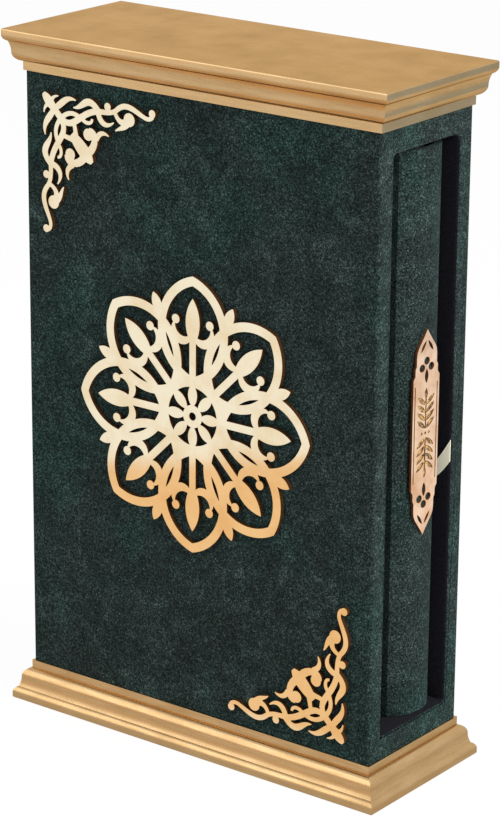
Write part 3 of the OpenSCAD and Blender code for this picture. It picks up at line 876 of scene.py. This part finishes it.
@dataclass
class Book:
    """The round-backed book that slides in the case."""

    wardrobe: Wardrobe
    fold_r: float = 0.5 * MM
    bead_pitch: float = 1.15 * MM
    bead_r: float = 0.72 * MM
    bead_rod: float = 0.85
    bead_flat: float = 0.85
    bead_half: float = 0.8
    bead_inset: float = 0.35
    bead_draw: float = 1.5
    band_bed: float = 0.55
    band_reach: float = 0.97
    band_shade: float = 80.0

    def build(self) -> None:
        """Make the book's cloth and thread pieces and dress its CAD nodes."""
        self.cover()
        for node in ("head_band", "tail_band"):
            self.band(node)
        self.plaque()
        self.wardrobe.put_on_nodes(["text_block"], PAGES)
        self.wardrobe.put_on_nodes(["front_endpaper", "back_endpaper"], ENDPAPER)
        self.wardrobe.put_on_nodes(["book_front_board", "book_back_board", "book_spine_strip"], GREY_CARD)
        self.wardrobe.put_on_nodes(["spine_lining"], MULL)

    def cover(self) -> None:
        """Model the book's velvet from its CAD solid, with folded edges."""
        piece = softened_copy("book_cover_cloth", "book_velvet", self.fold_r)
        self.wardrobe.put_on(piece, VELVET)
        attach(piece, "book")
        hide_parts("book_cover_cloth")
        LOG.info("made %s", piece.name)

    def plaque(self) -> None:
        """Model the plaque from its CAD solid, with the rounds of its openings shaded smooth."""
        piece = merged_copy("spine_plaque", "spine_plaque_mirror")
        smooth(piece)
        self.wardrobe.put_on(piece, ROSE_GOLD)
        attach(piece, "book")
        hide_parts("spine_plaque")
        LOG.info("made %s", piece.name)

    def bead(self) -> Object:
        """Model one turn of thread: a short flat rod with drawn-in ends, lying across the band.

        Returns:
            The turn of thread, at the origin.
        """
        clear_selection()
        bpy.ops.mesh.primitive_cylinder_add(
            vertices=10, radius=self.bead_rod * self.bead_r, depth=2 * self.bead_half * self.bead_r,
            rotation=(0.0, math.pi / 2, 0.0))
        bead = bpy.context.object
        bpy.ops.object.transform_apply(location=True, rotation=True, scale=True)
        bpy.ops.object.mode_set(mode="EDIT")
        bpy.ops.mesh.select_all(action="SELECT")
        bpy.ops.transform.resize(value=(1.0, 1.0, self.bead_flat), center_override=(0.0, 0.0, 0.0))
        pick(bead, Part.FACE, lambda c, p: abs(abs(c.x) - self.bead_half * self.bead_r) < TOUCH)
        bpy.ops.mesh.inset(thickness=self.bead_inset * self.bead_r)
        bpy.ops.transform.resize(value=(self.bead_draw, 1.0, 1.0), center_override=(0.0, 0.0, 0.0))
        bpy.ops.object.mode_set(mode="OBJECT")
        self.wardrobe.put_on(bead, GOLD_THREAD, GREEN_THREAD)
        return bead

    def band(self, node: str) -> None:
        """Wind a band from beads of thread in two colours along the pages' round back.

        Args:
            node: CAD node of the band.
        """
        low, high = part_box(node)
        seat_z = low.z if node == "head_band" else high.z
        side = 1.0 if node == "head_band" else -1.0
        half = (high.y - low.y) / 2
        rise = high.x - low.x - 2 * (high.z - low.z)
        radius = (half * half + rise * rise) / (2 * rise)
        bed_z = seat_z + side * self.band_bed * self.bead_r
        centre = Vector((high.x - (high.z - low.z) - radius, (low.y + high.y) / 2, bed_z))
        reach = math.asin(half / radius) * self.band_reach
        count = int(2 * reach * radius / self.bead_pitch)
        pattern = self.bead()
        beads: list[Object] = []
        for i in range(count + 1):
            turn = -reach + 2 * reach * i / count
            activate(pattern)
            bpy.ops.object.duplicate(linked=False)
            bead = bpy.context.object
            bead.location = centre + Vector((math.cos(turn), math.sin(turn), 0.0)) * radius
            bead.rotation_euler.z = turn
            bpy.ops.object.transform_apply(location=True, rotation=True, scale=True)
            for face in bead.data.polygons:
                face.material_index = i % 2
            beads.append(bead)
        bpy.data.objects.remove(pattern)
        clear_selection()
        for bead in beads:
            bead.select_set(True)
        piece = beads[0]
        bpy.context.view_layer.objects.active = piece
        bpy.ops.object.join()
        piece.name = f"{node}_thread"
        smooth(piece, self.band_shade)
        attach(piece, "book")
        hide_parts(node)
        LOG.info("made %s with %d beads", piece.name, count + 1)


@dataclass
class PullRibbon:
    """The satin ribbon that lies round the book, with its free tab at the mouth."""

    wardrobe: Wardrobe
    width: float = 5.0 * MM
    thickness: float = 0.3 * MM
    bend_r: float = 1.2 * MM
    tab_run: float = 30.0 * MM
    tab_climb: float = 18.5 * MM
    step: float = 2.0 * MM
    off_wall: float = 0.03 * MM
    short_of_mouth: float = 4.0
    bend_steps: int = 5
    tab_steps: int = 24
    tab_lift: float = 0.12 * MM
    cut_tries: int = 40

    def build(self) -> None:
        """Lay the ribbon along the lining and out to its cut end."""
        low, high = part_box("pull_ribbon")
        wall = self.thickness / 2 + self.off_wall
        front_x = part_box("case_lining")[1].x - self.short_of_mouth * self.width
        z = low.z + self.width / 2
        x0, x1 = low.x + wall, high.x
        back_y, front_y = high.y - wall, low.y + wall
        tab_x = x1 - self.tab_run
        path = self.run(Vector((front_x, front_y, z)), Vector((x0 + self.bend_r, front_y, z)))
        path += self.corner(Vector((x0 + self.bend_r, front_y + self.bend_r, z)), 270.0)
        path += self.run(Vector((x0, front_y + self.bend_r, z)), Vector((x0, back_y - self.bend_r, z)))
        path += self.corner(Vector((x0 + self.bend_r, back_y - self.bend_r, z)), 180.0)
        path += self.run(Vector((x0 + self.bend_r, back_y, z)), Vector((tab_x, back_y, z)))
        lower = [p - Vector((0.0, 0.0, self.width / 2)) for p in path]
        upper = [p + Vector((0.0, 0.0, self.width / 2)) for p in path]
        tab_low, tab_high = self.tab(tab_x, x1, back_y, z)
        lower += tab_low
        upper += tab_high
        piece = self.strip(lower, upper)
        self.wardrobe.put_on(piece, SATIN)
        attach(piece, "case")
        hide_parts("pull_ribbon")

    def run(self, start: Vector, end: Vector) -> list[Vector]:
        """Points along a straight run, without its end.

        Args:
            start: First point.
            end: Point after the last one.

        Returns:
            Points about a step apart.
        """
        count = max(1, round((end - start).length / self.step))
        return [start.lerp(end, i / count) for i in range(count)]

    def corner(self, centre: Vector, first: float) -> list[Vector]:
        """Points round an inside corner of the lining, turning clockwise seen from above.

        Args:
            centre: Middle of the bend.
            first: Angle of the bend's first point, in degrees.

        Returns:
            Points of a quarter turn, without its end.
        """
        angles = [math.radians(first - 90.0 * i / self.bend_steps) for i in range(self.bend_steps)]
        return [centre + Vector((math.cos(a), math.sin(a), 0.0)) * self.bend_r for a in angles]

    def tab(self, x0: float, x1: float, y: float, z: float) -> tuple[list[Vector], list[Vector]]:
        """Edges of the free tab, which climbs along the wall to an upright cut.

        Args:
            x0: Where the tab starts.
            x1: Where it is cut.
            y: Middle of its thickness.
            z: Height of the ribbon's middle.

        Returns:
            Points of the lower and of the upper edge.
        """
        reach, climb = self.tab_run, self.tab_climb
        p = [Vector((x0, 0.0, z)), Vector((x0 + 0.55 * reach, 0.0, z)),
             Vector((x0 + 0.72 * reach, 0.0, z + 0.12 * climb)),
             Vector((x1 + self.width / 2, 0.0, z + climb + self.width / 2))]
        edges: tuple[list[Vector], list[Vector]] = ([], [])
        for points, side in zip(edges, (-1.0, 1.0)):
            last = self.cut_at(p, side, x1)
            for i in range(self.tab_steps + 1):
                spot = self.edge_point(p, last * i / self.tab_steps, side)
                lift = self.tab_lift * math.sin(math.pi * i / self.tab_steps)
                points.append(Vector((min(spot.x, x1), y - lift, spot.z)))
        return edges

    def edge_point(self, p: list[Vector], t: float, side: float) -> Vector:
        """Point on one edge of the tab.

        Args:
            p: Four curve points of the tab's middle.
            t: Place along the curve, from 0 to 1.
            side: -1 for the lower edge, 1 for the upper.

        Returns:
            The point, in the plane of the wall.
        """
        s = 1.0 - t
        middle = s ** 3 * p[0] + 3 * t * s * s * p[1] + 3 * t * t * s * p[2] + t ** 3 * p[3]
        slope = (s * s * (p[1] - p[0]) + 2 * t * s * (p[2] - p[1]) + t * t * (p[3] - p[2])).normalized()
        return middle + Vector((-slope.z, 0.0, slope.x)) * side * self.width / 2

    def cut_at(self, p: list[Vector], side: float, x1: float) -> float:
        """Place along the tab where one of its edges meets the cut.

        Args:
            p: Four curve points of the tab's middle.
            side: Which edge.
            x1: The cut.

        Returns:
            The curve's parameter, from 0 to 1.
        """
        low, high = 0.3, 1.0
        for _ in range(self.cut_tries):
            t = (low + high) / 2
            low, high = (t, high) if self.edge_point(p, t, side).x < x1 else (low, t)
        return low

    def strip(self, lower: list[Vector], upper: list[Vector]) -> Object:
        """Make a thin closed strip between two edges, with UVs in metres along and across it.

        Args:
            lower: Points of the lower edge.
            upper: Points of the upper edge, as many.

        Returns:
            The strip.
        """
        columns = 4
        points = [a.lerp(b, k / columns) for a, b in zip(lower, upper) for k in range(columns + 1)]
        wide = columns + 1
        faces = [(i * wide + k, (i + 1) * wide + k, (i + 1) * wide + k + 1, i * wide + k + 1)
                 for i in range(len(lower) - 1) for k in range(columns)]
        mesh = bpy.data.meshes.new("pull_ribbon_satin")
        mesh.from_pydata(points, [], faces)
        along = [0.0]
        for a, b in zip(lower, lower[1:]):
            along.append(along[-1] + (b - a).length)
        layer = mesh.uv_layers.new(name="along")
        for loop in mesh.loops:
            row, column = divmod(loop.vertex_index, wide)
            layer.data[loop.index].uv = (along[row], self.width * column / columns)
        piece = bpy.data.objects.new("pull_ribbon_satin", mesh)
        bpy.context.scene.collection.objects.link(piece)
        wall = piece.modifiers.new("satin", "SOLIDIFY")
        wall.thickness = self.thickness
        wall.offset = 0.0
        apply_modifiers(piece)
        smooth(piece)
        return piece


@dataclass
class Studio:
    """White floor, soft lamps and the camera."""

    focal_px: float = 3123.0
    frame_px: float = 817.0
    azimuth: float = 37.16
    elevation: float = 18.38
    roll: float = 0.45
    camera_at: Triple = (0.7690, -1.0092, 0.5692)
    aim_at: Triple = (0.0, 0.0, 0.15)
    depth_axis: Triple = (0.707, 0.707, 0.0)
    floor_size: float = 16.0
    paper: str = "#f4f4f4"
    glow_share: float = 0.96
    room_light: float = 0.4
    soft: float = 0.01
    warm: str = "#fbd3a4"
    warm_middle: float = -0.16
    warm_half: float = 0.24
    warm_from: float = 0.073
    warm_ramp: float = 0.012
    warm_least: float = 0.1
    cool: str = "#c6ddff"
    cool_from: float = 0.72
    cool_run: float = 0.1
    contact: float = 0.2
    contact_from: float = 0.1
    contact_run: float = 0.05
    contact_front: float = 0.05

    def build(self) -> None:
        """Make the stage, the lamps and the camera."""
        self.floor()
        self.sky()
        self.lamp("key", (1.5, -0.15, 1.1), 0.9, 42.0)
        self.lamp("overhead", (0.1, 0.25, 1.7), 1.0, 5.0)
        self.lamp("left panel", (-0.72, -0.88, 0.62), 1.1, 5.0)
        self.camera()
        bpy.context.scene.view_settings.view_transform = "Standard"

    def floor(self) -> None:
        """Lay a pale floor that the camera sees as white.

        Mirrors see it warm before the case, cool far behind it and dimmer where the case shades it.
        """
        clear_selection()
        bpy.ops.mesh.primitive_plane_add(size=self.floor_size, location=(0.0, 0.0, 0.0))
        floor = bpy.context.object
        floor.name = "studio_floor"
        material, tree, coords = new_material("pale paper sweep")
        seen, glossy = self.rays(tree)
        depth = measure(tree, coords, self.depth_axis)
        front = measure(tree, coords, (0.0, -1.0, 0.0))
        beside = measure(tree, coords, (1.0, 0.0, 0.0))
        off = reckon(tree, "ABSOLUTE", reckon(tree, "SUBTRACT", depth, self.warm_middle))
        near = remap(tree, off, self.warm_half + self.soft, self.warm_half - self.soft)
        ahead = remap(tree, front, self.warm_from, self.warm_from + self.warm_ramp, self.warm_least)
        warmth = reckon(tree, "MULTIPLY", reckon(tree, "MULTIPLY", near, ahead), glossy)
        tone = tinted(tree, warmth, linear(WHITE), linear(self.warm))
        far = remap(tree, depth, self.cool_from, self.cool_from + self.cool_run)
        shade = tinted(tree, reckon(tree, "MULTIPLY", far, glossy), tone, linear(self.cool))
        contact = remap(tree, beside, self.contact_from, self.contact_from + self.contact_run, self.contact, 0.0)
        rear = remap(tree, front, self.contact_front + self.soft, self.contact_front - self.soft)
        dark = reckon(tree, "MULTIPLY", reckon(tree, "MULTIPLY", contact, rear), glossy)
        paper = add(tree, "ShaderNodeBsdfDiffuse", {"Color": linear(self.paper)})
        glow = add(tree, "ShaderNodeEmission", {"Color": shade, "Strength": reckon(tree, "SUBTRACT", 1.0, dark)})
        floor.data.materials.append(close(material, add(tree, "ShaderNodeMixShader", {
            0: reckon(tree, "MULTIPLY", seen, self.glow_share), 1: paper.outputs[0], 2: glow.outputs[0]})))
        floor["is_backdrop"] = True

    def sky(self) -> None:
        """Light the scene with a white room that the camera sees as white."""
        world = bpy.data.worlds.new("white room")
        bpy.context.scene.world = world
        world.use_nodes = True
        tree = world.node_tree
        tree.nodes.clear()
        seen, _ = self.rays(tree)
        light = add(tree, "ShaderNodeBackground", {
            "Color": linear(WHITE), "Strength": remap(tree, seen, 0.0, 1.0, self.room_light)})
        add(tree, "ShaderNodeOutputWorld", {"Surface": light.outputs[0]})

    def rays(self, tree: Tree) -> tuple[Socket, Socket]:
        """Tell rays that the camera or a mirror sends out, and those of mirrors alone.

        Args:
            tree: Node tree of the floor or of the room.

        Returns:
            1 for a ray of either kind, and 1 for a mirror's ray.
        """
        path = add(tree, "ShaderNodeLightPath").outputs
        return reckon(tree, "MAXIMUM", path["Is Camera Ray"], path["Is Glossy Ray"]), path["Is Glossy Ray"]

    def lamp(self, name: str, place: Triple, size: float, power: float) -> None:
        """Set up a square soft lamp that faces the case.

        Args:
            name: Name of the lamp.
            place: Where it stands, in metres.
            size: Length of its side, in metres.
            power: Power in watts.
        """
        data = bpy.data.lights.new(name, "AREA")
        data.size = size
        data.energy = power
        lamp = bpy.data.objects.new(name, data)
        bpy.context.scene.collection.objects.link(lamp)
        aim = Vector(self.aim_at) - Vector(place)
        lamp.location = place
        lamp.rotation_euler = aim.to_track_quat("-Z", "Y").to_euler()

    def camera(self) -> None:
        """Place the camera at the photographed angle."""
        a, e, r = (math.radians(v) for v in (self.azimuth, self.elevation, self.roll))
        back = Vector((math.sin(a) * math.cos(e), -math.cos(a) * math.cos(e), math.sin(e)))
        level = Vector((math.cos(a), math.sin(a), 0.0))
        upright = back.cross(level)
        right = math.cos(r) * level + math.sin(r) * upright
        up = math.cos(r) * upright - math.sin(r) * level
        data = bpy.data.cameras.new("camera")
        data.sensor_width = 36.0
        data.lens = self.focal_px * data.sensor_width / self.frame_px
        data.clip_start, data.clip_end = 0.05, 50.0
        camera = bpy.data.objects.new("camera", data)
        bpy.context.scene.collection.objects.link(camera)
        turn = Matrix((right, up, back)).transposed().to_4x4()
        camera.matrix_world = Matrix.Translation(Vector(self.camera_at)) @ turn
        bpy.context.scene.camera = camera


def main() -> None:
    """Build the stage, the case, the ribbon and the book, in that order."""
    logging.basicConfig(level=logging.INFO, format="%(name)s: %(message)s")
    cad = tuple(corner.copy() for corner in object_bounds())
    wardrobe = Wardrobe()
    Studio().build()
    Case(wardrobe).build()
    PullRibbon(wardrobe).build()
    Book(wardrobe).build()


if __name__ == "__main__":
    main()
